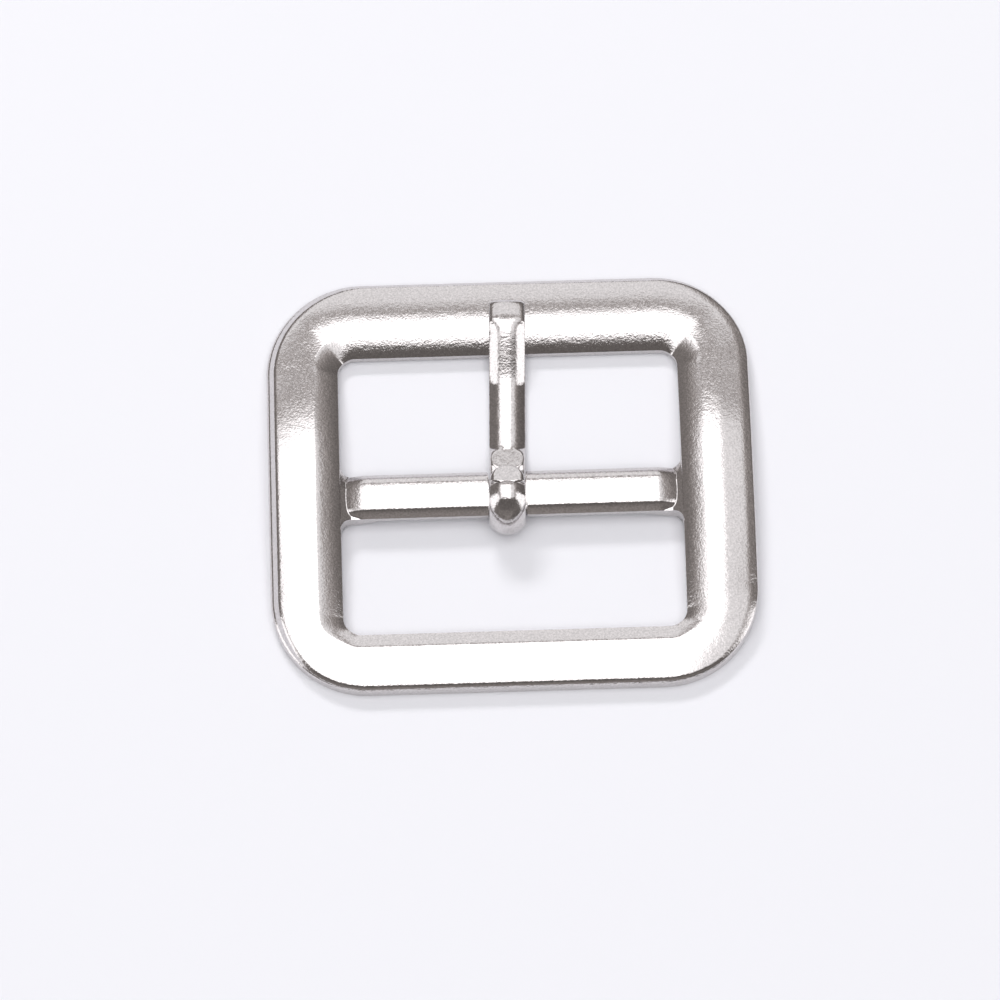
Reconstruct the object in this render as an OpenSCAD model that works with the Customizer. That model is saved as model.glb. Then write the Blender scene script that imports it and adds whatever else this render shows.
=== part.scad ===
// Pressed sheet-metal buckle with a centre bar and one half-round tongue, millimetres.
// The origin lies under the middle of the frame's outline, on the surface that it rests on.
// X runs along the bar, +Y points to the tongue's tip and +Z out of the pressed face.

/* [Frame outline] */
// Width of the frame along the bar
frame_w = 35; // [33:0.5:37]
// Length of the frame along the strap
frame_l = 31; // [30:0.5:33]
// Radius of the outline's corners
corner_r = 6.95; // [5.5:0.05:7.5]
// Width of the openings, which the strap fills
window_w = 24.66; // [23:0.02:25.5]
// Far edge of the opening under the tongue, from the origin
window_far = 9.74; // [9:0.02:10.2]
// Near edge of the other opening, from the origin
window_near = -11.33; // [-11.8:0.01:-10.8]
// Radius of the openings' corners
window_r = 1.3; // [0.8:0.1:1.8]

/* [Pressed sheet] */
// Height of the bowed frame's crest beside the bar
crest_mid = 2.75; // [2.6:0.05:2.9]
// Height of the crest at both ends of the frame
crest_end = 1.6; // [1.5:0.05:1.7]
// Thickness of the sheet
sheet = 0.6; // [0.5:0.05:0.65]
// Distance of the crest from the openings, on the sides and the far end
crest_in = 1.9; // [1.7:0.05:2]
// Distance of the crest from the opening on the near end
crest_in_near = 1.1; // [1:0.05:1.3]
// Height of the turned-down edge of the openings above the surface
lip_z = 0.15; // [0.1:0.05:0.3]

/* [Centre bar] */
// Middle of the bar along Y, from the origin
bar_y = -1.1; // [-1.2:0.05:-1.05]
// Width of the bar
bar_w = 3.3; // [3.1:0.05:3.4]
// Height of the bar's crest
bar_top = 2.25; // [2.2:0.05:2.4]
// Height of the bar's lower edges
bar_low = 1.1; // [1:0.05:1.15]
// Width of the neck that the tongue's ring turns on
neck_w = 2.5; // [2.3:0.05:2.5]

/* [Tongue] */
// Width of the half-round wire
wire_w = 2.6; // [2.4:0.05:2.7]
// Thickness of the half-round wire
wire_h = 1; // [0.85:0.05:1]
// Radius of the hole through the ring
ring_r = 1.43; // [1.41:0.01:1.45]
// Y of the hinge line
hinge_y = -1.4; // [-1.45:0.01:-1.35]
// Height of the hinge line above the surface
hinge_z = 1.9; // [1.88:0.01:1.92]
// Offset of the ring along the bar, from the middle
ring_x = -0.3; // [-0.5:0.05:0.5]
// Angle that the tongue leans to one side
tongue_lean = -1.6; // [-2:0.1:0]
// Y of the tongue's tip
tip_y = 13.6; // [13:0.05:13.8]

/* [Hidden] */
$fn = 64;

// Rim of the pressing: distances from the outline, and depths below the dome's foot
rim_edge_depth = 0.9;
rim_bevel = [0.08, 0.68];
rim_turn = [0.45, 0.22];
rim_end_d = 0.8;
// Slope of the dome at its foot
dome_slope = 0.25;
// Fall of the inner face over inner_run, and its power of the distance from the crest
inner_run = 1.9;
inner_fall = 0.74;
inner_power = 1.45;
// Underside of the rim, from the dome's foot
under_step = 0.45;
under_foot = [0.06, 0.25];
// Stretches of Y along which the crest falls, and the blend of its fall
bow_far = [1, 10.8];
bow_near = [-3, -12.8];
bow_blend = 1.6;
// Outward direction, along Y, at which the near end's section starts
near_start = 0.3;
// Steps along one curved part of the section, one corner of the outline, and one side
curve_steps = 6;
corner_steps = 10;
side_steps = 16;

// Middle of the two openings taken together
window_mid_y = (window_far + window_near) / 2;
window_l = window_far - window_near;

function ramp(a, b, y) =
    let (t = min(max((y - a) / (b - a), 0), 1))
    t * t * (3 - 2 * t);

// Point of a rounded rectangle at step i of a corner: half sizes, radius and middle
function corner_point(quarter, i, half_x, half_y, r, mid_y) =
    let (a = 90 * quarter + 90 * i / corner_steps,
         sx = (quarter == 0 || quarter == 3) ? 1 : -1,
         sy = quarter < 2 ? 1 : -1)
    [sx * (half_x - r) + r * cos(a), mid_y + sy * (half_y - r) + r * sin(a)];

// Rounded rectangle, anticlockwise from the +X side, with steps along its straight parts
function round_rect(half_x, half_y, r, mid_y) = [
    for (quarter = [0 : 3])
        let (last = corner_point(quarter, corner_steps, half_x, half_y, r, mid_y),
             next = corner_point((quarter + 1) % 4, 0, half_x, half_y, r, mid_y))
        each concat(
            [for (i = [0 : corner_steps]) corner_point(quarter, i, half_x, half_y, r, mid_y)],
            [for (i = [1 : side_steps - 1]) last + (next - last) * i / side_steps])
];

outline = round_rect(frame_w / 2, frame_l / 2, corner_r, 0);
opening = round_rect(window_w / 2, window_l / 2, window_r, window_mid_y);

function bow_share(span, y) =
    let (t = min(max((y - span[0]) / (span[1] - span[0]), 0), 1))
    t * t * (bow_blend + (1 - bow_blend) * t);

// Height of the frame's crest along Y
function crest_z(y) = crest_mid - (crest_mid - crest_end) * (bow_share(bow_far, y) + bow_share(bow_near, y));

// Fall of the upper face at distance d outward from the crest, on a dome of the given run
function dome_fall(d, run) = dome_slope * d * d / (2 * run);

// Fall of the inner face at distance q from the crest
function slope_fall(q) = inner_fall * pow(q / inner_run, inner_power);

// Closed section of the sheet, [distance from the outline, height]: band width, crest distance and height
function sheet_section(w, in_d, top) =
    let (crest_d = w - in_d,
         run = crest_d - rim_end_d,
         foot_z = top - dome_fall(run, run),
         under_d = rim_end_d + under_step,
         under_z0 = foot_z - under_step,
         under_run = crest_d - under_d)
    concat(
        [[0, 0], [0, foot_z - rim_edge_depth], [rim_bevel[0], foot_z - rim_bevel[1]],
         [rim_turn[0], foot_z - rim_turn[1]]],
        [for (i = [0 : curve_steps])
            let (d = run * (1 - i / curve_steps))
            [crest_d - d, top - dome_fall(d, run)]],
        [for (i = [1 : curve_steps])
            let (q = in_d * i / curve_steps)
            [crest_d + q, top - slope_fall(q)]],
        [[w, lip_z], [w - sheet, lip_z]],
        [for (i = [curve_steps : -1 : 0])
            let (q = (in_d - sheet) * i / curve_steps)
            [crest_d + q, top - sheet - slope_fall(q)]],
        [for (i = [1 : curve_steps])
            let (d = under_run * i / curve_steps)
            [crest_d - d, top - sheet - (top - sheet - under_z0) * pow(i / curve_steps, 2)]],
        [[rim_end_d + under_foot[0], under_z0 * under_foot[1]], [rim_end_d, 0]]
    );

// Section at one place round the frame, in space: it follows the bow along Y.
function band_ring(p, q) =
    let (w = norm(q - p),
         u = (q - p) / w,
         out_y = -u[1],
         near = ramp(near_start, -1, out_y),
         in_d = crest_in + (crest_in_near - crest_in) * near,
         crest_d = w - in_d,
         top = crest_z(p[1] + u[1] * crest_d),
         own = out_y < 0 ? 1 - out_y * out_y : 0)
    [for (s = sheet_section(w, in_d, top))
        let (lift = crest_z(p[1] + u[1] * (crest_d + own * (s[0] - crest_d))) - top)
        [p[0] + u[0] * s[0], p[1] + u[1] * s[0], s[1] + lift * min(max(s[1] / top, 0), 1)]];

// One polyhedron from equal rings of points; the last ring joins the first, or flat ends close it.
module skin(rings, looped) {
    n = len(rings);
    m = len(rings[0]);
    points = [for (ring = rings) for (p = ring) p];
    last = looped ? n - 1 : n - 2;
    sides = [
        for (i = [0 : last], j = [0 : m - 1])
            let (a = i * m + j,
                 b = i * m + (j + 1) % m,
                 c = ((i + 1) % n) * m + (j + 1) % m,
                 d = ((i + 1) % n) * m + j)
            each [[a, b, c], [a, c, d]]
    ];
    ends = looped ? [] : [[for (j = [m - 1 : -1 : 0]) j], [for (j = [0 : m - 1]) (n - 1) * m + j]];
    polyhedron(points, concat(sides, ends));
}

// Pressed sheet round the two openings, without the bar
module pressed_ring() {
    skin([for (i = [0 : len(outline) - 1]) band_ring(outline[i], opening[i])], true);
}

// Half of the bar's rounded back, [share of the half width, fall below the crest]
arch = [[0, 0], [0.47, 0.04], [0.66, 0.11], [0.73, 0.18], [0.85, 0.35], [1, 0.61]];
arch_last = len(arch) - 1;

// Section of the bar: width, crest height and lower edge; inset by t it gives the hollow.
module bar_section(w, top, low, t) {
    half = w / 2 - t;
    polygon(concat(
        [[-half, low - t]],
        [for (i = [arch_last : -1 : 1]) [-half * arch[i][0], top - t - arch[i][1]]],
        [for (i = [0 : arch_last]) [half * arch[i][0], top - t - arch[i][1]]],
        [[half, low - t]]
    ));
}

// Stretch of the bar between two places along X, at mid_y
module bar_length(x0, x1, w, mid_y, low, t) {
    translate([x0, mid_y, 0])
        rotate([90, 0, 90])
            linear_extrude(x1 - x0)
                bar_section(w, bar_top, low, t);
}

// Sloped end of the bar's back
slice = 0.02;
end_drop = 0.35;
end_gap = 0.7;
end_run = 1.15;
module bar_end(side, t) {
    hull()
        for (k = [0, 1])
            translate([side * (window_w / 2 - end_gap - end_run * (1 - k)) - slice / 2, bar_y, 0])
                rotate([90, 0, 90])
                    linear_extrude(slice)
                        bar_section(bar_w, bar_top - end_drop * k, bar_low, t);
}

// Flared web that carries one end of the bar into the pressed side, sloping up to it
web_flare = 0.8;
web_drop = 0.38;
web_reach = 0.42;
web_overlap = 0.3;
web_under = 0.75;
module web(side) {
    half = bar_w / 2;
    edge = window_w / 2;
    root_z = crest_mid - slope_fall(crest_in);
    floor_z = root_z - web_drop;
    intersection() {
        translate([0, bar_y, 0])
            linear_extrude(crest_mid)
                polygon([
                    [side * (edge - end_gap - web_overlap), -half],
                    [side * (edge - web_flare), -half],
                    [side * edge, -half - web_flare],
                    [side * (edge + web_reach), -half - web_flare],
                    [side * (edge + web_reach), half + web_flare],
                    [side * edge, half + web_flare],
                    [side * (edge - web_flare), half],
                    [side * (edge - end_gap - web_overlap), half]
                ]);
        translate([0, bar_y + bar_w, 0])
            rotate([90, 0, 0])
                linear_extrude(2 * bar_w)
                    polygon([
                        [side * (edge + web_reach), root_z],
                        [side * edge, root_z],
                        [side * (edge - end_gap), floor_z],
                        [side * (edge - end_gap - web_overlap), floor_z],
                        [side * (edge - end_gap - web_overlap), floor_z - sheet],
                        [side * (edge - end_gap), floor_z - sheet],
                        [side * edge, root_z - web_under],
                        [side * (edge + web_reach), root_z - web_under]
                    ]);
    }
}

// The neck is longer than the ring is wide, and centred on the hinge line.
neck_depth = 0.5;
neck_play = 0.2;
neck_low = hinge_z - neck_depth;
neck_l = wire_w + neck_play;
module bar() {
    neck = [ring_x - neck_l / 2, ring_x + neck_l / 2];
    back_end = window_w / 2 - end_gap - end_run;
    difference() {
        union() {
            bar_length(-back_end, neck[0], bar_w, bar_y, bar_low, 0);
            bar_length(neck[1], back_end, bar_w, bar_y, bar_low, 0);
            bar_length(neck[0] - sheet, neck[1] + sheet, neck_w, hinge_y, neck_low, 0);
            for (side = [-1, 1])
                bar_end(side, 0);
        }
        bar_length(-back_end, neck[0] - sheet, bar_w, bar_y, bar_low, sheet);
        bar_length(neck[1] + sheet, back_end, bar_w, bar_y, bar_low, sheet);
        for (side = [-1, 1])
            bar_end(side, sheet);
    }
    for (side = [-1, 1])
        web(side);
}

module frame() {
    color("silver")
        union() {
            pressed_ring();
            bar();
        }
}

section_steps = 10;
path_steps = 48;

// Tongue's underside along Y: level shank, then a straight slope up to the far end, over whose dome it lies
foot_y = -0.6;
foot_z = 0.03;
shank_z = 0.1;
rise_y = [7.38, 11.4];
seat_gap = 0.15;
// Thickness at the tip, and where the wire starts to thin
thin_y = 11.1;
tip_h = 0.32;
tip_narrow = [0.4, 0.1];
// Thickness of the wire round the bar
ring_t = 1.09;
// The ring's free end: its Y, and the heights between which its seam lies above the shank
end_y = 0.3;
seam = [1.45, 1.75];

function under_z(y) =
    let (far_band = frame_l / 2 - window_far,
         run = far_band - crest_in - rim_end_d,
         crest_y = window_far + crest_in,
         rest_z = crest_end + seat_gap)
    y > crest_y
        ? rest_z - dome_fall(y - crest_y, run)
        : shank_z + (rest_z - shank_z) * min(max((y - rise_y[0]) / (rise_y[1] - rise_y[0]), 0), 1);

function thickness(y) =
    let (s = min(max((y - thin_y) / (tip_y - thin_y), 0), 1))
    tip_h + (wire_h - tip_h) * sqrt(max(1 - s * s, 0));

// Half-round section of the wire at y: width and thickness follow the tip's rounded end.
function wire_ring(y) =
    let (h = thickness(y),
         r = (pow(wire_w / 2, 2) + pow(h, 2)) / (2 * h),
         edge = asin(wire_w / 2 / r),
         narrow = 1 - tip_narrow[1] * ramp(tip_y - tip_narrow[0], tip_y, y))
    [
        for (j = [0 : section_steps])
            let (a = edge - 2 * edge * j / section_steps)
            [r * sin(a) * narrow, y, under_z(y) + r * cos(a) - (r - h)]
    ];

module tongue_blade() {
    skin([
        for (i = [0 : path_steps])
            wire_ring(foot_y + (tip_y - foot_y) * i / path_steps)
    ], false);
}

// Wire bent round the bar, with a rounded back; the bore is cut afterwards.
ring_round = 2;
ring_steps = 6;
module ring() {
    edge = asin(wire_w / 2 / ring_round);
    mid_r = ring_r + ring_t - ring_round;
    translate([0, hinge_y, hinge_z])
        rotate([0, 90, 0])
            rotate_extrude()
                polygon(concat(
                    [[ring_r / 2, wire_w / 2], [ring_r / 2, -wire_w / 2]],
                    [for (j = [0 : ring_steps])
                        let (a = 2 * edge * j / ring_steps - edge)
                        [mid_r + ring_round * cos(a), ring_round * sin(a)]]
                ));
}

// Room in front of the ring's free end, and the seam under it
module end_cut() {
    reach = ring_r + ring_t;
    translate([-wire_w, end_y, seam[0]])
        cube([2 * wire_w, reach, 2 * reach]);
    translate([-wire_w, hinge_y + ring_r / 2, seam[0]])
        cube([2 * wire_w, reach, seam[1] - seam[0]]);
}

module tongue() {
    reach = ring_r + ring_t;
    color("gainsboro")
        translate([ring_x, hinge_y, 0])
            rotate([0, 0, tongue_lean])
                translate([0, -hinge_y, 0])
                    difference() {
                        union() {
                            tongue_blade();
                            ring();
                        }
                        translate([0, hinge_y, hinge_z])
                            rotate([0, 90, 0])
                                cylinder(h = 2 * wire_w, r = ring_r, center = true);
                        end_cut();
                        translate([-wire_w, hinge_y - 2 * reach, foot_z - reach])
                            cube([2 * wire_w, 4 * reach, reach]);
                    }
}

frame();
tongue();
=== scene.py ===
"""Centre-bar buckle: pressed sheet frame and half-round wire tongue, on a pale table under a soft box."""

import math

import bpy
import numpy as np
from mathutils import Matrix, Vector


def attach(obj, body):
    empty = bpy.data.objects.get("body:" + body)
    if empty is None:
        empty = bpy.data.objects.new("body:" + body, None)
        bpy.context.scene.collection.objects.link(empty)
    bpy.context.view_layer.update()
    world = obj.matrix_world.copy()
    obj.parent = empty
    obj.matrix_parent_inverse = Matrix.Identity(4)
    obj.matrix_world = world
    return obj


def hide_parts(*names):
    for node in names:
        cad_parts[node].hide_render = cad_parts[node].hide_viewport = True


MM = 0.001

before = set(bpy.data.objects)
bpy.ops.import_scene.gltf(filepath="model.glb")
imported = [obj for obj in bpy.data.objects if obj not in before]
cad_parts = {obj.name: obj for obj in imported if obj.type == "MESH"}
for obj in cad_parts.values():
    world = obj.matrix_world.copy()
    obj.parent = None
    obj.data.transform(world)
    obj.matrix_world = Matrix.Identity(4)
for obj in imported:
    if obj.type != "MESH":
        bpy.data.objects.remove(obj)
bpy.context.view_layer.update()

# Sizes, millimetres

FRAME_W, FRAME_L, CORNER_R = 35.0, 31.0, 6.95
WINDOW_HALF, WINDOW_FAR, WINDOW_NEAR, WINDOW_R = 12.33, 9.74, -11.33, 1.3
SHEET, LIP_Z = 0.6, 0.15
# Crest of the bowed frame: its height at the bar and at both ends, where along Y it starts and stops falling,
# and how evenly it falls (1 to 2)
CREST_MID, CREST_END = 2.75, 1.6
BOW_FAR, BOW_NEAR = (1.0, 10.8), (-3.0, -12.8)
BOW_BLEND = 1.6
# Distance of the crest from the openings' edge, far side and near side
CREST_IN, CREST_IN_SOUTH = 1.9, 1.1
# Share of the near side's shape in the left and right sides, and the outward Y where the far corners lose it
SIDE_SOUTH, SIDE_SOUTH_END = 0.135, 0.3
# How far a point on a far corner's rim follows the bow at its own place: at the corner's start, and its loss
FAR_OWN, FAR_OWN_LOSS = 0.6, 0.75
# Steepness of the dome on each side of the frame, from the crest (0) to its foot (1)
DOME_AT = [0, 0.25, 0.37, 0.47, 0.55, 0.62, 0.71, 0.8, 0.87, 1]
DOME_FAR = [0, 0.075, 0.108, 0.137, 0.16, 0.177, 0.195, 0.222, 0.235, 0.25]
DOME_WEST = [0, 0.055, 0.081, 0.103, 0.12, 0.136, 0.156, 0.176, 0.19, 0.22]
DOME_EAST = [0, 0.045, 0.085, 0.14, 0.185, 0.192, 0.2, 0.205, 0.21, 0.22]
DOME_SOUTH = [0, 0.075, 0.111, 0.141, 0.165, 0.186, 0.213, 0.24, 0.26, 0.3]
# Rim of the pressing, [distance from the outline, depth below the dome's foot], for the same sides
RIM_FAR = [(0, 0.9), (0.04, 0.6), (0.12, 0.508), (0.21, 0.404),
           (0.3, 0.3), (0.5, 0.18), (0.7, 0.1), (1.0, 0)]
RIM_WEST = [(0, 0.95), (0.04, 0.86), (0.13, 0.72), (0.26, 0.65),
            (0.4, 0.42), (0.56, 0.14), (0.69, 0.05), (0.86, 0)]
RIM_EAST = [(0, 0.5), (0.03, 0.35), (0.046, 0.316), (0.063, 0.281),
            (0.08, 0.245), (0.3, 0.167), (0.6, 0.06), (0.82, 0)]
RIM_SOUTH = [(0, 0.5), (0.05, 0.32), (0.087, 0.27), (0.123, 0.22),
             (0.16, 0.17), (0.26, 0.08), (0.34, 0.03), (0.42, 0)]
# Steepness of the face that falls from the crest into an opening, [distance from the crest, fall per mm]
INNER_FALL = [(0, 0), (0.11, 0.18), (0.2, 0.26), (0.4, 0.33), (0.69, 0.365),
              (0.98, 0.4), (1.27, 0.44), (1.56, 0.5), (1.9, 0.62)]
# Power that crowds the inner face's rows at the crest
SLOPE_SPREAD = 1.3
# Underside: its step inward and down from the dome's foot, and its own foot as
# [distance inside the rim, height share]
UNDER_STEP = 0.45
FOOT_BEND = [(0.2, 0.6), (0.06, 0.22)]
# Rounding of the sheet's cut edge
EDGE_ROUND = 0.05

BAR_Y, BAR_HALF, BAR_TOP, BAR_LOW = -1.1, 1.645, 2.25, 1.1
# Steepness of the bar's rounded back, [distance from its middle line, fall per mm]
ARCH_FALL = [(0, 0), (0.55, 0.07), (0.78, 0.11), (0.93, 0.24),
             (1.08, 0.34), (1.2, 0.75), (1.4, 1.0), (1.645, 1.15)]
# Fall per mm beyond the bar's half width, where it flares
BESIDE_FALL = 4
# Steepness of the back's sloped ends, and their distance from the frame's sides
END_FALL = [(0, 0), (0.3, 0.25), (0.5, 0.32), (1.2, 0.4), (1.8, 0.5)]
END_GAP = 1.85
# Web between a side and the end of the back: its flare, and its fall per mm to a level floor after WEB_RUN
FLARE, WEB_FALL, WEB_RUN = 0.8, 0.5, 0.75
# Its fall per mm toward the far side, from this Y off the bar's middle, and the gaps over which that fades in
WEB_FAR_FALL, WEB_FAR_Y, WEB_FAR_GAPS = 0.45, 0.7, (-0.4, 0.8)
# Gaps from a side between which the web fades out, and the softness of the valley at its foot
WEB_FADE, WEB_SOFT = (2.2, 1.3), 0.01
# Gap over which the bar's lower edge rises from the turned-down edge, least half width of its hollow,
# and least heights of its cut edge and its hollow over the lower edge
LOW_REACH, HOLLOW_HALF = 2.8, 0.45
CUT_LEAST, HOLLOW_LEAST = 0.06, 0.08
# Hinge line, the ring's bore and its offset, and how far the tongue leans
HINGE_Y, HINGE_Z, RING_R, RING_X = -1.4, 1.9, 1.43, -0.3
LEAN = math.radians(-1.6)
# Neck inside the ring: half width, where it starts and ends widening, half its length, and its depth
NECK_HALF, NECK_WIDEN, NECK_REACH, NECK_DEPTH = 1.25, (1.32, 1.38), 1.36, 0.5

# Numbers of rows and columns
N_BAR, N_CORNER, N_SIDE, N_ACROSS = 41, 36, 27, 62
N_DOME, N_SLOPE, N_UNDER, N_FALL = 22, 26, 12, 200
# Rows along the bar: [gap from the side, number] at its ends, and [start, end, number] between them
BAR_END_ROWS = [(1.2, 61), (3.2, 26)]
BAR_ROWS = [(-9.0, -2.0, 26), (-1.9, 1.3, 33), (1.4, 9.0, 27)]


# Angle from which an edge is shaded sharp
SHARP_DEG = 40


# Small helpers

def smoothstep(a, b, x):
    t = np.clip((np.asarray(x, float) - a) / (b - a), 0, 1)
    return t * t * (3 - 2 * t)


def smooth_max(a, b, k):
    return 0.5 * (a + b + np.sqrt((a - b) ** 2 + k * k))


def rounded(points, passes=2):
    """Corner-cut copy of an open line; its ends stay."""
    p = np.array(points, float)
    for _ in range(passes):
        q = np.empty((2 * (len(p) - 1), 2))
        q[0::2] = 0.75 * p[:-1] + 0.25 * p[1:]
        q[1::2] = 0.25 * p[:-1] + 0.75 * p[1:]
        p = np.vstack([p[:1], q, p[-1:]])
    return p


def mesh_object(name, verts_mm, faces, sharp_deg):
    me = bpy.data.meshes.new(name)
    points = [tuple(v) for v in np.asarray(verts_mm) * MM]
    me.from_pydata(points, [], [tuple(int(i) for i in f) for f in faces])
    me.validate()
    me.update()
    ob = bpy.data.objects.new(name, me)
    bpy.context.scene.collection.objects.link(ob)
    bpy.context.view_layer.objects.active = ob
    ob.select_set(True)
    bpy.ops.object.shade_smooth_by_angle(angle=math.radians(sharp_deg))
    ob.select_set(False)
    return ob


# Pressed frame

def frame_columns():
    """Pairs of points round the loop, anticlockwise: on the outline, and on the openings' edge."""
    mid = (WINDOW_FAR + WINDOW_NEAR) / 2
    wl = (WINDOW_FAR - WINDOW_NEAR) / 2
    out_c = (FRAME_W / 2 - CORNER_R, FRAME_L / 2 - CORNER_R)
    in_c = (WINDOW_HALF - WINDOW_R, wl - WINDOW_R)
    signs = [(1, 1), (-1, 1), (-1, -1), (1, -1)]
    outer, inner = [], []

    def corner(q, t):
        a = math.pi / 2 * (q + t)
        sx, sy = signs[q]
        c, s = math.cos(a), math.sin(a)
        return ((sx * out_c[0] + CORNER_R * c, sy * out_c[1] + CORNER_R * s),
                (sx * in_c[0] + WINDOW_R * c, mid + sy * in_c[1] + WINDOW_R * s))

    def side_steps(y0, y1):
        """Shares of the way from y0 to y1 that hold the bar's junction as even steps."""
        lo, hi = BAR_Y - BAR_HALF - FLARE, BAR_Y + BAR_HALF + FLARE
        marks = sorted([lo, hi], reverse=y1 < y0)
        before = np.linspace(y0, marks[0], N_SIDE)[1:]
        inside = np.linspace(marks[0], marks[1], N_BAR)[1:]
        after = np.linspace(marks[1], y1, N_SIDE)[1:-1]
        ys = np.concatenate([before, inside, after])
        first = len(before) - 1
        return (ys - y0) / (y1 - y0), first

    spans = {}
    for q in range(4):
        for i in range(N_CORNER + 1):
            p, w = corner(q, i / N_CORNER)
            outer.append(p)
            inner.append(w)
        (p0, w0), (p1, w1) = corner(q, 1), corner((q + 1) % 4, 0)
        if q in (1, 3):
            shares, first = side_steps(w0[1], w1[1])
            spans[q] = (len(outer) + first, len(outer) + first + N_BAR - 1)
        else:
            shares = np.linspace(0, 1, N_ACROSS)[1:-1]
        for t in shares:
            outer.append((p0[0] + (p1[0] - p0[0]) * t, p0[1] + (p1[1] - p0[1]) * t))
            inner.append((w0[0] + (w1[0] - w0[0]) * t, w0[1] + (w1[1] - w0[1]) * t))
    return np.array(outer), np.array(inner), spans


def fall_along(table, q):
    """Fall at distance q along a face whose steepness the table gives."""
    steps = np.linspace(0, table[-1][0], N_FALL)
    steep = np.interp(steps, [f[0] for f in table], [f[1] for f in table])
    fall = np.concatenate([[0], np.cumsum((steep[1:] + steep[:-1]) / 2 * np.diff(steps))])
    return np.interp(q, steps, fall)


def crest_height(y):
    """Height of the frame's crest along Y."""
    fall = 0
    for start, stop in (BOW_FAR, BOW_NEAR):
        t = np.clip((y - start) / (stop - start), 0, 1)
        fall = fall + t * t * (BOW_BLEND - (BOW_BLEND - 1) * t)
    return CREST_MID - (CREST_MID - CREST_END) * fall


def blend(tables, shares):
    return sum(np.array(table) * share for table, share in zip(tables, shares))


def frame_section(w, out_x, out_y, edge_y):
    """Section rows at band width w: [distance from the outline, height], and the rows that the bar joins."""
    side_south = SIDE_SOUTH * smoothstep(SIDE_SOUTH_END, 0, out_y)
    south = float(side_south + (1 - SIDE_SOUTH) * smoothstep(0, -1, out_y))
    east, west = max(out_x, 0) * (1 - south), max(-out_x, 0) * (1 - south)
    far = 1 - south - east - west
    crest_in = CREST_IN + (CREST_IN_SOUTH - CREST_IN) * south
    crest = w - crest_in
    high = float(crest_height(edge_y - out_y * crest))
    shares = (far, west, east, south)
    rim = blend((RIM_FAR, RIM_WEST, RIM_EAST, RIM_SOUTH), shares)
    d0 = rim[-1][0]
    t = np.arange(0, N_DOME + 1) / N_DOME
    steep = np.interp(t, DOME_AT, blend((DOME_FAR, DOME_WEST, DOME_EAST, DOME_SOUTH), shares))
    fall = np.concatenate([[0], np.cumsum((steep[1:] + steep[:-1]) / 2 / N_DOME * (crest - d0))])
    dome = np.c_[crest - (crest - d0) * t, high - fall][::-1][1:]
    z0 = high - fall[-1]
    rim = [(0, 0), (0, 0.5 * (z0 - rim[0][1]))] + [(d, z0 - below) for d, below in rim]
    rim = rounded(rim + [tuple(dome[1])], 2)
    dome = dome[2:]
    q = crest_in * (np.arange(1, N_SLOPE + 1) / N_SLOPE) ** SLOPE_SPREAD
    slope = np.c_[crest + q, high - fall_along(INNER_FALL, q)]
    top = np.vstack([rim, dome, slope])
    edge_z = slope[-1, 1]
    e = EDGE_ROUND
    lip = np.array([(w, 0.5 * edge_z), (w, LIP_Z + e), (w - e, LIP_Z),
                    (w - SHEET + e, LIP_Z), (w - SHEET, LIP_Z + e)])
    q = (crest_in - SHEET) * np.arange(N_UNDER, -1, -1) / N_UNDER
    under_slope = np.c_[crest + q, high - SHEET - fall_along(INNER_FALL, q)]
    s = np.arange(N_UNDER - 1, -1, -1) / N_UNDER
    du, zu = d0 + UNDER_STEP, z0 - UNDER_STEP
    under_dome = np.c_[du + (crest - du) * s, high - SHEET - (high - SHEET - zu) * (1 - s) ** 2]
    foot = np.array([(d0 + inside, share * zu) for inside, share in FOOT_BEND] + [(d0, 0)])
    rows = np.vstack([top, lip, under_slope, under_dome, foot])
    # Round the near corners each point follows the bow at its own place along Y, elsewhere nearer the crest's
    own = 1 - out_y * out_y if out_y < 0 else max(FAR_OWN - FAR_OWN_LOSS * out_y, 0)
    place = edge_y - out_y * (crest + own * (rows[:, 0] - crest))
    rows[:, 1] += (crest_height(place) - high) * np.clip(rows[:, 1] / high, 0, 1)
    return rows, len(top) - 1, len(top) + len(lip)


def bar_half(x):
    """Half width of the bar at x: flared at the sides and narrow inside the tongue's ring."""
    gap = np.maximum(WINDOW_HALF - np.abs(x), 0)
    g = np.minimum(gap, FLARE)
    flare = FLARE - np.sqrt(np.maximum(FLARE ** 2 - (FLARE - g) ** 2, 0))
    neck = (BAR_HALF - NECK_HALF) * (1 - smoothstep(*NECK_WIDEN, np.abs(x - RING_X)))
    return BAR_HALF + flare - neck


def bar_mid(x):
    """Middle of the bar along Y: on the hinge line inside the tongue's ring."""
    return BAR_Y + (HINGE_Y - BAR_Y) * (1 - smoothstep(*NECK_WIDEN, np.abs(x - RING_X)))


def bar_top_z(x, y):
    """Height of the bar: a rounded back with sloped ends, and a web between each end and the frame's side."""
    gap = WINDOW_HALF - np.abs(x)
    off = y - bar_mid(x)
    across = np.abs(off)
    back = BAR_TOP - fall_along(ARCH_FALL, np.minimum(across, BAR_HALF))
    back = back - fall_along(END_FALL, np.maximum(END_GAP - gap, 0))
    back = back - BESIDE_FALL * np.maximum(across - BAR_HALF, 0)
    web = CREST_MID - fall_along(INNER_FALL, CREST_IN) - WEB_FALL * np.minimum(gap, WEB_RUN)
    web = web - WEB_FAR_FALL * smoothstep(*WEB_FAR_GAPS, gap) * np.maximum(off - WEB_FAR_Y, 0)
    near = smoothstep(*WEB_FADE, gap)
    return back * (1 - near) + smooth_max(back, web, WEB_SOFT) * near


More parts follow.
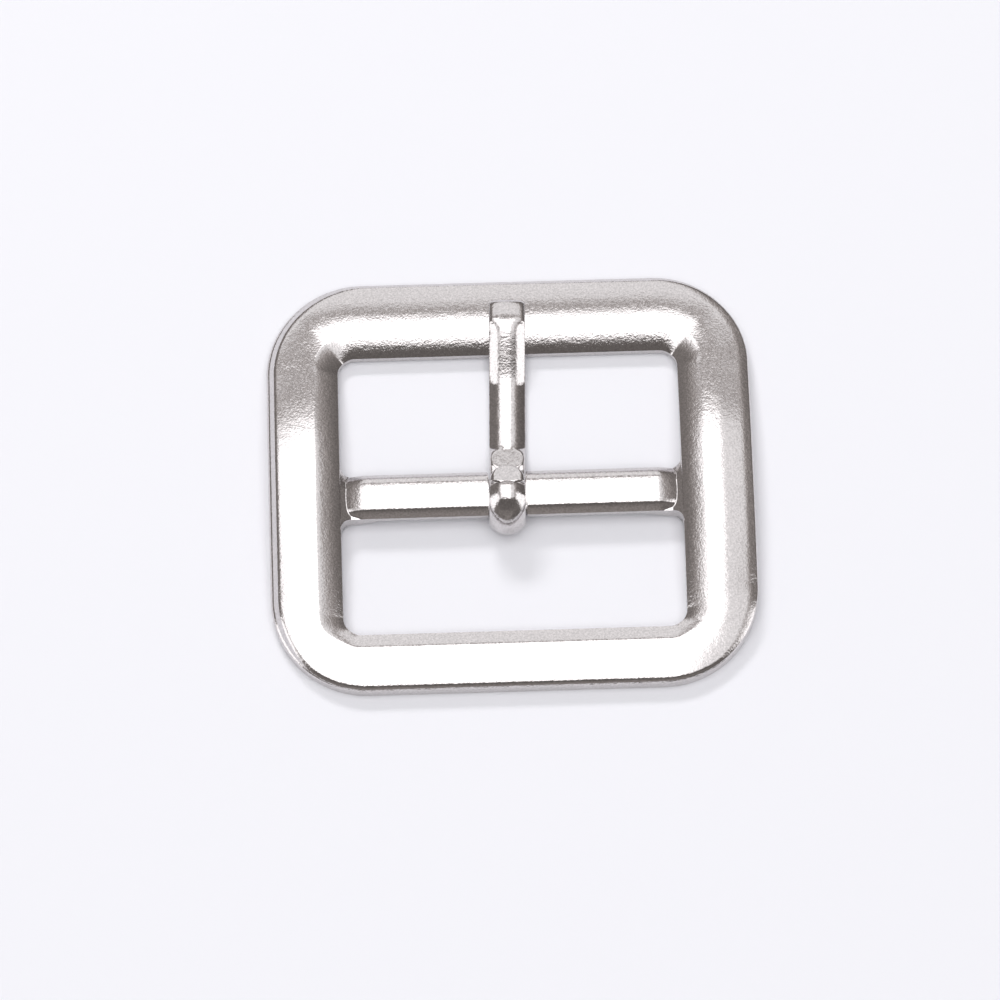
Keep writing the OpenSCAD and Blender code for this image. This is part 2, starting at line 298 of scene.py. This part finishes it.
def build_frame():
    outer, inner, spans = frame_columns()
    n = len(outer)
    w = np.hypot(*(inner - outer).T)
    u = (inner - outer) / w[:, None]
    verts, faces = [], []
    rows0, row_top, row_join = frame_section(FRAME_L / 2 - WINDOW_FAR, 0, 1, FRAME_L / 2)
    m = len(rows0)
    for i in range(n):
        rows, _, _ = frame_section(w[i], -u[i][0], -u[i][1], outer[i][1])
        pos = outer[i][None, :] + u[i][None, :] * rows[:, :1]
        verts.extend(np.c_[pos, rows[:, 1]])
    base = np.array(verts)

    def vid(i, j):
        return (i % n) * m + (j % m)

    open_cols = set()
    for a, b in spans.values():
        open_cols.update(range(a, b))
    for i in range(n):
        for j in range(m):
            if i in open_cols and row_top <= j < row_join:
                continue
            faces.append((vid(i, j), vid(i + 1, j), vid(i + 1, j + 1), vid(i, j + 1)))

    # Bar: one closed section carried from the left side to the right side
    lip_rows = list(range(row_top + 1, row_join))
    la, lb = spans[1]
    ra, rb = spans[3]
    # Left columns run from high y to low y, right columns from low y to high y
    left_cols = list(range(lb, la - 1, -1))
    right_cols = list(range(ra, rb + 1))

    def loop_of(cols):
        top = [vid(c, row_top) for c in cols]
        far = [vid(cols[-1], j) for j in lip_rows]
        under = [vid(c, row_join) for c in reversed(cols)]
        near = [vid(cols[0], j) for j in reversed(lip_rows)]
        return top + far + under + near

    start, end = loop_of(left_cols), loop_of(right_cols)
    starts = [0] + [reach for reach, _ in BAR_END_ROWS]
    gaps = np.concatenate([np.linspace(a, b, k)[1:] for a, (b, k) in zip(starts, BAR_END_ROWS)])
    middle_rows = [np.linspace(a, b, k) for a, b, k in BAR_ROWS]
    xs = np.concatenate([-WINDOW_HALF + gaps, *middle_rows, (WINDOW_HALF - gaps)[::-1]])
    v = np.linspace(-1, 1, N_BAR)
    all_verts = [base]
    loops = [start]
    count = len(base)
    for x in xs:
        half = float(bar_half(x))
        gap = WINDOW_HALF - abs(x)
        low = LIP_Z + (BAR_LOW - LIP_Z) * (1 - math.cos(math.pi / 2 * min(gap / LOW_REACH, 1)))
        if abs(x - RING_X) < NECK_REACH:
            low = max(low, HINGE_Z - NECK_DEPTH)
        middle = float(bar_mid(x))
        y = middle + v * half
        top = np.c_[np.full(N_BAR, x), y, bar_top_z(x, y)]
        z_edge = top[-1, 2]
        thick = min(SHEET, half - HOLLOW_HALF)

        def lip(side):
            y_out, y_in = middle + side * half, middle + side * (half - thick)
            e = EDGE_ROUND * side
            half_z = max(0.5 * (z_edge + low), low + CUT_LEAST)
            return np.array([(x, y_out, half_z), (x, y_out, low + EDGE_ROUND), (x, y_out - e, low),
                             (x, y_in + e, low), (x, y_in, low + EDGE_ROUND)])

        yu = middle + v[::-1] * (half - thick)
        under = np.c_[np.full(N_BAR, x), yu, np.maximum(top[::-1, 2] - SHEET, low + HOLLOW_LEAST)]
        pts = np.vstack([top, lip(1), under, lip(-1)[::-1]])
        all_verts.append(pts)
        loops.append(list(range(count, count + len(pts))))
        count += len(pts)
    loops.append(end)
    k = len(start)
    for a, b in zip(loops[:-1], loops[1:]):
        for j in range(k):
            faces.append((a[j], b[j], b[(j + 1) % k], a[(j + 1) % k]))
    return np.vstack(all_verts), faces


# Tongue

TIP_Y, WIRE_W, WIRE_H = 13.6, 2.6, 1.0
# Rows: points round the wire, at the tip, along the shank, down the dip, round the ring, along its free end
N_ROUND, TIP_STEPS, SHANK_STEPS, DIP_STEPS, RING_STEPS, END_STEPS = 64, 12, 150, 30, 100, 30
# Length of the tip with close rows, start of the shank's rows behind the tip, and their end along Y
TIP_LENGTH, SHANK_START, SHANK_END_Y = 0.5, 0.58, 1.1
# Lowest height that the tongue reaches
FLOOR_Z = 0.03
# Where the wire thins, its thickness at the tip, and how round the tip is from the side
THIN_Y, TIP_H, TIP_ROUND = 11.1, 0.32, 0.98
# Tip in plan: length that is rounded, and share of the half width at its very end
TIP_PLAN, TIP_NARROW = 0.42, 0.62
# Underside: level at SHANK_Z, then a straight slope between two places along Y, with this rounding
SHANK_Z, SHANK_TOP_Y, SHANK_LOW_Y, SHANK_SOFT = 0.1, 11.4, 7.38, 0.35
OVER_DOME = 0.15
# Swelling of the shank in front of the bar: where it starts, tops out and falls, and its rise per mm
SWELL_Y, SWELL_RISE, SWELL_DROP, SWELL_SOFT = (2.45, 1.75, 1.15), 0.8, 0.7, 0.15
# Power of the plain wire's rounded section and of the swelling's, which is fuller, and of a squared section
ROUND_POWER, SWELL_POWER, BOX_POWER = 1.8, 0.7, 0.35
# Distances from the start of the swelling between which its section gets full
FULL_RUN = (0.3, -0.2)
# Height share of the section's widest place on the shank, and its gain round the ring
WIDEST, WIDEST_GAIN = 0.48, 0.04
# Flat pressed on the swelling: its height where the swelling starts, its rise per mm, and the same beyond it
FLAT_Z, FLAT_RISE, FLAT_STOP = 1.11, 0.22, 1.2
# Distance beyond the start of the swelling up to which rows can be cut flat
FLAT_MARGIN = 0.5
# Dip to the bar's underside: angle at which it meets the ring, and the pull of its curves at both ends
DIP_ANGLE = -52
DIP_START, DIP_END = (-0.4, -0.2), 1.0
DIP_LOW_START, DIP_LOW_END, DIP_LOW_SHIFT = (-0.4, 0.0), (0.6, 0.0), 0.25
# Angle at which the ring's outside has left the dip's
DIP_LEFT = -80
# Angle over the bar at which the ring's free end leaves its curve, and the length that it runs on
END_ANGLE, END_RUN = 73, 0.15
# Head at the free end: its middle and underside, its upper face's height over the hinge and its fall along Y
HEAD_Y, HEAD_LOW, HEAD_TOP, HEAD_FALL = -1.03, 1.75, 2.51, 0.29
# Droop of its corners, and the places off its middle between which it turns into the ring's rounded back
HEAD_DROOP, HEAD_TURN = 0.3, (0.05, -0.1)
# Rounding of its upper edge, the angles between which it is round in plan, and its rows
HEAD_ROUND, HEAD_PLAN, HEAD_STEPS, HEAD_RINGS = 0.06, (-8, 188), 50, 14
# Outer radius of the ring, its swelling on the near side and where, and its loss on the far side
RING_OUT, RING_SWELL, RING_SWELL_AT, RING_FAR_LOSS = 2.52, 0.3, 25, 0.25
# Share of the dip after which the section starts to turn over
BEND_START = 0.2
# Length of the ring's free end that is pressed flat, and over which it fades, along the wire
FLAT_END, FLAT_FADE, FLAT_END_SHARE = 0.1, 0.2, 0.85
# The same at the tip
FLAT_TIP, TIP_FADE, FLAT_TIP_SHARE = 1.7, 0.9, 0.8
# Loss of width over the last stretch of the free end, and the thickness share of its last row
END_NARROW, END_STRETCH, END_THIN = 0.1, 0.4, 0.7


def soft_step(y, soft):
    """Straight ramp from 0 to y with a rounded start."""
    return 0.5 * (y + np.sqrt(y * y + soft * soft))


def under_z(y):
    """Underside of the tongue along Y: level, a straight slope up to the far side, and down over its dome."""
    w = FRAME_L / 2 - WINDOW_FAR
    rows, row_top, _ = frame_section(w, 0, 1, FRAME_L / 2)
    dome = rows[:row_top - N_SLOPE]
    over = np.interp(FRAME_L / 2 - y, dome[:, 0], dome[:, 1]) + OVER_DOME
    steep = (CREST_END + OVER_DOME - SHANK_Z) / (SHANK_TOP_Y - SHANK_LOW_Y)
    rise = steep * (soft_step(y - SHANK_LOW_Y, SHANK_SOFT) - soft_step(y - SHANK_TOP_Y, SHANK_SOFT))
    return np.where(y > WINDOW_FAR + CREST_IN, over, SHANK_Z + rise)


def tongue_path():
    """Stations along the wire: upper and lower line, [y, z], share of the bend, and how many are shank."""
    y = np.concatenate([np.linspace(TIP_Y, TIP_Y - TIP_LENGTH, TIP_STEPS),
                        np.linspace(TIP_Y - SHANK_START, SHANK_END_Y, SHANK_STEPS)])
    s = np.clip((y - THIN_Y) / (TIP_Y - THIN_Y), 0, 1)
    thick = TIP_H + (WIRE_H - TIP_H) * np.sqrt(1 - s * s * TIP_ROUND)
    lower = np.c_[y, np.maximum(under_z(y), FLOOR_Z)]
    start, top, fall = (soft_step(at - y, SWELL_SOFT) for at in SWELL_Y)
    upper = np.c_[y, under_z(y) + thick + SWELL_RISE * (start - top) - SWELL_DROP * fall]
    # Dip to the bar's underside
    t = np.linspace(0, 1, DIP_STEPS + 1)[1:]
    centre = np.array([HINGE_Y, HINGE_Z])
    a_in = math.radians(DIP_ANGLE)
    p3 = centre + RING_R * np.array([math.cos(a_in), math.sin(a_in)])
    tangent = np.array([math.sin(a_in), -math.cos(a_in)])
    dip_u = bezier(upper[-1], upper[-1] + DIP_START, p3 - DIP_END * tangent, p3, t)
    q3 = np.array([p3[0] + DIP_LOW_SHIFT, FLOOR_Z])
    dip_l = bezier(lower[-1], lower[-1] + DIP_LOW_START, q3 + DIP_LOW_END, q3, t)
    # Round the bar: the wire's upper line is now inside the ring
    ang = np.radians(np.linspace(DIP_ANGLE, END_ANGLE - 360, RING_STEPS))[1:]
    way = np.c_[np.cos(ang), np.sin(ang)]
    inside = centre + RING_R * way
    down = np.maximum(-np.sin(ang), 1e-6)
    near = RING_SWELL * np.clip(-np.cos(ang - math.radians(RING_SWELL_AT)), 0, 1) ** 2
    swell = RING_OUT + near - RING_FAR_LOSS * np.clip(np.cos(ang), 0, 1)
    reach = np.where(np.sin(ang) < 0, np.minimum(swell, (HINGE_Z - FLOOR_Z) / down), swell)
    lean_in = smoothstep(a_in, math.radians(DIP_LEFT), ang)
    outside = centre + reach[:, None] * way
    outside[:, 0] += (1 - lean_in) * (q3[0] - outside[0, 0])
    # The ring's free end runs on straight
    onward = np.array([math.sin(ang[-1]), -math.cos(ang[-1])])
    straight = np.linspace(0, END_RUN, END_STEPS)[1:, None] * onward
    upper = np.vstack([upper, dip_u, inside, inside[-1] + straight])
    lower = np.vstack([lower, dip_l, outside, outside[-1] + straight])
    n = len(upper)
    turn = np.zeros(n)
    k = len(y)
    turn[k:k + len(t)] = smoothstep(BEND_START, 1, t)
    turn[k + len(t):] = 1
    return upper, lower, turn, k


def bezier(a, b, c, d, t):
    a, b, c, d = (np.array(p, float) for p in (a, b, c, d))
    t = t[:, None]
    return (1 - t) ** 3 * a + 3 * (1 - t) ** 2 * t * b + 3 * (1 - t) * t * t * c + t ** 3 * d


def build_head():
    """Head at the ring's free end: flat on top, round in plan, hollowed by the ring's bore."""
    r = WIRE_W / 2
    edge = HEAD_ROUND
    # The rounded edge: [share of the radius, height below the face]
    flat_end = 1 - 1.2 * edge / r
    levels = [(1 - 0.35 * edge / r, -0.3 * edge), (1, -edge)]
    turn = np.radians(np.linspace(*HEAD_PLAN, HEAD_STEPS))
    plan = [(k / HEAD_RINGS * flat_end, 0) for k in range(1, HEAD_RINGS + 1)] + levels
    rows = []

    def top_z(x, y):
        flat = HINGE_Z + HEAD_TOP - HEAD_FALL * (y - HEAD_Y)
        round_share = 1 - (1 - np.minimum((x / r) ** 2, 1)) ** (ROUND_POWER / 2)
        droop = HEAD_DROOP * round_share ** 3
        back = (1 - WIDEST - WIDEST_GAIN) * (RING_OUT - RING_R) * round_share
        return flat - droop - (back - droop) * smoothstep(*HEAD_TURN, y - HEAD_Y)

    def low_z(y):
        bore = HINGE_Z + np.sqrt(np.maximum(RING_R ** 2 - (y - HINGE_Y) ** 2, 0))
        return np.maximum(np.where(y < HINGE_Y + RING_R, bore, HEAD_LOW), HEAD_LOW)

    for share, down in plan:
        x, y = r * share * np.cos(turn), HEAD_Y + r * share * np.sin(turn)
        rows.append(np.c_[x, y, top_z(x, y) + down])
    for share in [k / HEAD_RINGS for k in range(HEAD_RINGS, 0, -1)]:
        x, y = r * share * np.cos(turn), HEAD_Y + r * share * np.sin(turn)
        rows.append(np.c_[x, y, low_z(y)])
    m, n = len(turn), len(rows)
    centre = [(0, HEAD_Y, float(top_z(0, HEAD_Y))), (0, HEAD_Y, float(low_z(np.array(HEAD_Y))))]
    verts = np.vstack(rows + [centre])
    top, low = m * n, m * n + 1
    faces = []
    for i in range(n - 1):
        for j in range(m - 1):
            faces.append((i * m + j, (i + 1) * m + j, (i + 1) * m + j + 1, i * m + j + 1))
    for j in range(m - 1):
        faces.append((top, j, j + 1))
        faces.append((low, (n - 1) * m + j + 1, (n - 1) * m + j))
    back = [top] + [i * m for i in range(n)] + [low] + [i * m + m - 1 for i in range(n - 1, -1, -1)]
    faces.append(tuple(back))
    return verts, faces


def build_tongue():
    upper, lower, turn, k = tongue_path()
    n = len(upper)
    mid = (upper + lower) / 2
    along = np.concatenate([[0], np.cumsum(np.hypot(*(mid[1:] - mid[:-1]).T))])
    total = along[-1]
    tip = np.sqrt(np.clip(1 - (1 - np.minimum(along / TIP_PLAN, 1)) ** 2, 0, 1))
    back = total - along
    half = WIRE_W / 2 * (TIP_NARROW + (1 - TIP_NARROW) * tip)
    half = half * (1 - END_NARROW * smoothstep(END_STRETCH, 0, back))
    phi = 2 * np.pi * (np.arange(N_ROUND) + 0.5) / N_ROUND
    c, s = np.cos(phi), np.sin(phi)
    out = s > 0
    x_arched, x_boxy, boxy = np.abs(c), np.abs(c) ** BOX_POWER, np.abs(s) ** BOX_POWER
    verts = []
    for i in range(n):
        bend = turn[i]
        full = float(smoothstep(*FULL_RUN, upper[i][0] - SWELL_Y[0])) * (1 - bend)
        arched = np.abs(s) ** (ROUND_POWER + (SWELL_POWER - ROUND_POWER) * full)
        on_top = np.where(out, 1 - bend, bend)
        x = half[i] * np.sign(c) * (x_arched * on_top + x_boxy * (1 - on_top))
        lift = arched * on_top + boxy * (1 - on_top)
        level = WIDEST + WIDEST_GAIN * bend
        end_flat = FLAT_END_SHARE * float(smoothstep(FLAT_END + FLAT_FADE, FLAT_END, back[i]))
        tip_flat = FLAT_TIP_SHARE * float(smoothstep(FLAT_TIP + TIP_FADE, FLAT_TIP, along[i]))
        lift = lift + max(end_flat, tip_flat) * (boxy - lift) * on_top
        share = np.where(out, level + (1 - level) * lift, level - level * lift)
        if i == n - 1:
            share = 0.5 + (share - 0.5) * END_THIN
        p = lower[i][None, :] + (upper[i] - lower[i])[None, :] * share[:, None]
        if i < k + DIP_STEPS and p[:, 0].max() < SWELL_Y[0] + FLAT_MARGIN:
            ahead = SWELL_Y[0] - p[:, 0]
            p[:, 1] = np.minimum(p[:, 1], FLAT_Z + FLAT_RISE * ahead + FLAT_STOP * np.maximum(-ahead, 0))
        verts.append(np.c_[x, p])
    verts = np.vstack(verts)
    faces = []
    for i in range(n - 1):
        for j in range(N_ROUND):
            a, b = i * N_ROUND + j, i * N_ROUND + (j + 1) % N_ROUND
            faces.append((a, b, b + N_ROUND, a + N_ROUND))
    faces.append(tuple(range(N_ROUND - 1, -1, -1)))
    faces.append(tuple(range((n - 1) * N_ROUND, n * N_ROUND)))
    # The head is a second shell of the same piece
    head_verts, head_faces = build_head()
    faces += [tuple(i + len(verts) for i in face) for face in head_faces]
    verts = np.vstack([verts, head_verts])
    # Lean about the bar
    c, s = math.cos(LEAN), math.sin(LEAN)
    x, y = verts[:, 0].copy(), verts[:, 1] - HINGE_Y
    verts[:, 0] = RING_X + x * c - y * s
    verts[:, 1] = HINGE_Y + x * s + y * c
    return verts, faces


frame_verts, frame_faces = build_frame()
pressed = mesh_object("pressed_frame", frame_verts, frame_faces, SHARP_DEG)
tongue_verts, tongue_faces = build_tongue()
tongue = mesh_object("wire_tongue", tongue_verts, tongue_faces, SHARP_DEG)


# Materials

# Noise values that the ramps stretch, and what they do to the colour and to the roughness at both ends
NOISE_RANGE, TONES, DULLNESS = (0.3, 0.7), (0.84, 1.12), (0.85, 1.2)
# Size of the pits against the grain's and their share of the relief, and the size of the dull patches, mm
PIT_SIZE, PIT_SHARE, PATCH_MM = 3.2, 0.8, 2.2


def nickel(name, colour, rough, grain_mm, grain_depth):
    """Bright nickel with a fine orange-peel relief, grain_depth in mm, and slightly duller patches."""
    mat = bpy.data.materials.new(name)
    mat.use_nodes = True
    nt = mat.node_tree
    bsdf = nt.nodes["Principled BSDF"]
    bsdf.inputs["Metallic"].default_value = 1.0
    coord = nt.nodes.new("ShaderNodeTexCoord")

    def noise(scale_mm, detail, rough_value):
        node = nt.nodes.new("ShaderNodeTexNoise")
        node.inputs["Scale"].default_value = 1000.0 / scale_mm
        node.inputs["Detail"].default_value = detail
        node.inputs["Roughness"].default_value = rough_value
        nt.links.new(coord.outputs["Object"], node.inputs["Vector"])
        return node

    def ramp(source, lo, hi, a, b):
        node = nt.nodes.new("ShaderNodeMapRange")
        node.inputs["From Min"].default_value = lo
        node.inputs["From Max"].default_value = hi
        node.inputs["To Min"].default_value = a
        node.inputs["To Max"].default_value = b
        nt.links.new(source, node.inputs["Value"])
        return node.outputs["Result"]

    grain = noise(grain_mm, detail=2.0, rough_value=0.6)
    pits = noise(grain_mm * PIT_SIZE, detail=1.0, rough_value=0.5)
    patch = noise(PATCH_MM, detail=2.0, rough_value=0.5)
    mix = nt.nodes.new("ShaderNodeMix")
    mix.data_type = "RGBA"
    for k, tone in zip((6, 7), TONES):
        mix.inputs[k].default_value = (*[min(c * tone, 1) for c in colour], 1)
    nt.links.new(ramp(grain.outputs["Fac"], *NOISE_RANGE, 0, 1), mix.inputs[0])
    nt.links.new(mix.outputs[2], bsdf.inputs["Base Color"])
    dull = ramp(patch.outputs["Fac"], *NOISE_RANGE, rough * DULLNESS[0], rough * DULLNESS[1])
    nt.links.new(dull, bsdf.inputs["Roughness"])
    bump = nt.nodes.new("ShaderNodeBump")
    bump.inputs["Strength"].default_value = 1.0
    bump.inputs["Distance"].default_value = grain_depth * MM
    add = nt.nodes.new("ShaderNodeMath")
    add.operation = "ADD"
    nt.links.new(grain.outputs["Fac"], add.inputs[0])
    nt.links.new(ramp(pits.outputs["Fac"], 0, 1, 0, PIT_SHARE), add.inputs[1])
    nt.links.new(add.outputs[0], bump.inputs["Height"])
    nt.links.new(bump.outputs["Normal"], bsdf.inputs["Normal"])
    return mat


pressed.data.materials.append(nickel(
    "pressed_nickel", colour=(0.65, 0.625, 0.622), rough=0.085, grain_mm=0.14, grain_depth=0.01))
tongue.data.materials.append(nickel(
    "wire_nickel", colour=(0.64, 0.615, 0.612), rough=0.09, grain_mm=0.16, grain_depth=0.009))

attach(pressed, "frame")
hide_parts("frame")
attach(tongue, "tongue")
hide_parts("tongue")


# Table, sky and lights

TABLE_SIZE, SKY_RADIUS, ROOM_LIGHT = 1.6, 0.75, 0.34
# Light from the sky at its brightest and on the side panels
BOX, PANEL = 2.4, 1.7
# Side panels: where each starts and ends, angle from +X or -X toward -Y in radians, and its upper edge
PANEL_START, PANEL_END, PANEL_TOP = (0.03, 0.08), (0.62, 0.45), (0.6, 0.5)
# Colour of the sky's dim and bright parts, and the brightness between which it changes
DIM_TINT, BRIGHT_TINT, TINT_RANGE = (1, 0.92, 0.885, 1), (1, 0.99, 1, 1), (0.3, 1.0)
# Brightness of the sky by angle from straight up, in degrees: toward +Y, and toward +X
SKY_Y = [(-90, 0.36), (-72, 0.3), (-56, 0.2), (-45, 0.17), (-26.5, 0.17), (-25, 0.22), (-24, 0.4),
         (-23, 0.93), (-22, 1.6), (-21, 2.4), (28, 2.4), (30, 1.7), (32, 1.2), (33.5, 0.8),
         (35.5, 0.42), (37.5, 0.38), (40, 0.55), (42.5, 1.06), (90, 1.06)]
SKY_X = [(-90, 0.25), (-52, 0.25), (-45, 0.28), (-41.5, 0.4), (-38.5, 0.56), (-36.5, 0.8), (-34.8, 1.1),
         (-32.5, 1.6), (-30, 1.8), (-19, 1.9), (-17, 2.4), (14, 2.4), (15.5, 1.7), (17, 1.35),
         (19, 1.14), (31, 1.08), (33.2, 0.86), (35, 0.7), (37, 0.57), (39.5, 0.46), (43, 0.34),
         (47, 0.26), (52, 0.23), (60, 0.2), (75, 0.17), (90, 0.17)]


def plain(name, colour, rough):
    mat = bpy.data.materials.new(name)
    mat.use_nodes = True
    bsdf = mat.node_tree.nodes["Principled BSDF"]
    bsdf.inputs["Base Color"].default_value = (*colour, 1)
    bsdf.inputs["Roughness"].default_value = rough
    return mat


bpy.ops.mesh.primitive_plane_add(size=TABLE_SIZE, location=(0, 0, 0))
table = bpy.context.object
table.name = "table"
table.data.materials.append(plain("table_white", colour=(0.86, 0.855, 0.90), rough=0.9))


def build_sky():
    """A sphere that only mirror reflections see: bright overhead, dim in front, light low at the sides."""
    bpy.ops.mesh.primitive_uv_sphere_add(segments=48, ring_count=24, radius=SKY_RADIUS, location=(0, 0, 0))
    sky = bpy.context.object
    sky.name = "sky"
    mat = bpy.data.materials.new("sky_light")
    mat.use_nodes = True
    nt = mat.node_tree
    nt.nodes.clear()
    out = nt.nodes.new("ShaderNodeOutputMaterial")
    emit = nt.nodes.new("ShaderNodeEmission")
    nt.links.new(emit.outputs[0], out.inputs["Surface"])
    coord = nt.nodes.new("ShaderNodeTexCoord")
    sep = nt.nodes.new("ShaderNodeSeparateXYZ")
    nt.links.new(coord.outputs["Object"], sep.inputs[0])

    def math_node(kind, *values):
        node = nt.nodes.new("ShaderNodeMath")
        node.operation = kind
        for k, value in enumerate(values):
            if isinstance(value, (int, float)):
                node.inputs[k].default_value = value
            else:
                nt.links.new(value, node.inputs[k])
        return node.outputs[0]

    def step(value, lo, hi, a=0.0, b=1.0):
        node = nt.nodes.new("ShaderNodeMapRange")
        node.interpolation_type = "SMOOTHSTEP"
        for key, number in (("From Min", lo), ("From Max", hi), ("To Min", a), ("To Max", b)):
            node.inputs[key].default_value = number
        nt.links.new(value, node.inputs["Value"])
        return node.outputs["Result"]

    def curve(angle, stops):
        """Brightness along an angle in degrees, by straight steps between the stops."""
        node = nt.nodes.new("ShaderNodeValToRGB")
        ramp = node.color_ramp
        ramp.interpolation = "LINEAR"
        while len(ramp.elements) < len(stops):
            ramp.elements.new(0.5)
        for element, (deg, bright) in zip(ramp.elements, stops):
            element.position = deg / 180 + 0.5
            element.color = (bright / BOX, bright / BOX, bright / BOX, 1)
        nt.links.new(math_node("MULTIPLY_ADD", angle, 1 / math.pi, 0.5), node.inputs["Fac"])
        return node.outputs["Color"]

    x, y, z = sep.outputs
    along_y = curve(math_node("ARCTAN2", y, z), SKY_Y)
    along_x = curve(math_node("ARCTAN2", x, z), SKY_X)
    power = math_node("MINIMUM", along_y, along_x)
    # Light panels low on both sides, a little in front
    turn = math_node("ARCTAN2", math_node("MULTIPLY", y, -1), math_node("ABSOLUTE", x))
    panel = math_node("MULTIPLY", step(turn, *PANEL_START), step(turn, *PANEL_END))
    panel = math_node("MULTIPLY", panel, step(z, *PANEL_TOP))
    power = math_node("MAXIMUM", power, math_node("MULTIPLY", panel, PANEL / BOX))
    power = math_node("MULTIPLY", power, BOX)
    nt.links.new(power, emit.inputs["Strength"])
    tint = nt.nodes.new("ShaderNodeMix")
    tint.data_type = "RGBA"
    tint.inputs[6].default_value = DIM_TINT
    tint.inputs[7].default_value = BRIGHT_TINT
    nt.links.new(step(power, *TINT_RANGE), tint.inputs[0])
    nt.links.new(tint.outputs[2], emit.inputs["Color"])
    sky.data.materials.append(mat)
    sky.visible_camera = False
    sky.visible_diffuse = False
    sky.visible_shadow = False
    sky.visible_transmission = False


build_sky()


def softbox(name, location, size, energy):
    """Area light aimed at the origin that the mirror finish doesn't show."""
    data = bpy.data.lights.new(name, "AREA")
    data.shape = "RECTANGLE"
    data.size, data.size_y = size
    data.energy = energy
    ob = bpy.data.objects.new(name, data)
    bpy.context.scene.collection.objects.link(ob)
    ob.location = location
    ob.rotation_euler = (-Vector(location)).to_track_quat("-Z", "Y").to_euler()
    ob.visible_glossy = False
    return ob


softbox("overhead", location=(0, -0.08, 0.6), size=(0.6, 0.6), energy=2.45)
softbox("back", location=(-0.14, 0.52, 0.45), size=(0.25, 0.1), energy=1.75)

world = bpy.data.worlds.new("room")
bpy.context.scene.world = world
world.use_nodes = True
background = world.node_tree.nodes["Background"]
background.inputs["Color"].default_value = (1, 1, 1, 1)
background.inputs["Strength"].default_value = ROOM_LIGHT


# Camera

# Angles in radians, distance in metres, lens and sensor in millimetres, shift in shares of the picture
ELEVATION, YAW, DISTANCE = math.radians(72), 0.031, 0.434
LENS, SENSOR, SHIFT, CLIP_START = 216, 36, (-0.011, -0.0143), 0.01
cam_data = bpy.data.cameras.new("camera")
cam_data.lens = LENS
cam_data.sensor_width = SENSOR
cam_data.clip_start = CLIP_START
cam = bpy.data.objects.new("camera", cam_data)
bpy.context.scene.collection.objects.link(cam)
flat = math.cos(ELEVATION)
direction = Vector((-flat * math.sin(YAW), -flat * math.cos(YAW), math.sin(ELEVATION)))
cam.location = direction * DISTANCE
cam.rotation_euler = (-direction).to_track_quat("-Z", "Y").to_euler()
cam_data.shift_x, cam_data.shift_y = SHIFT
bpy.context.scene.camera = cam
bpy.context.scene.view_settings.view_transform = "Standard"
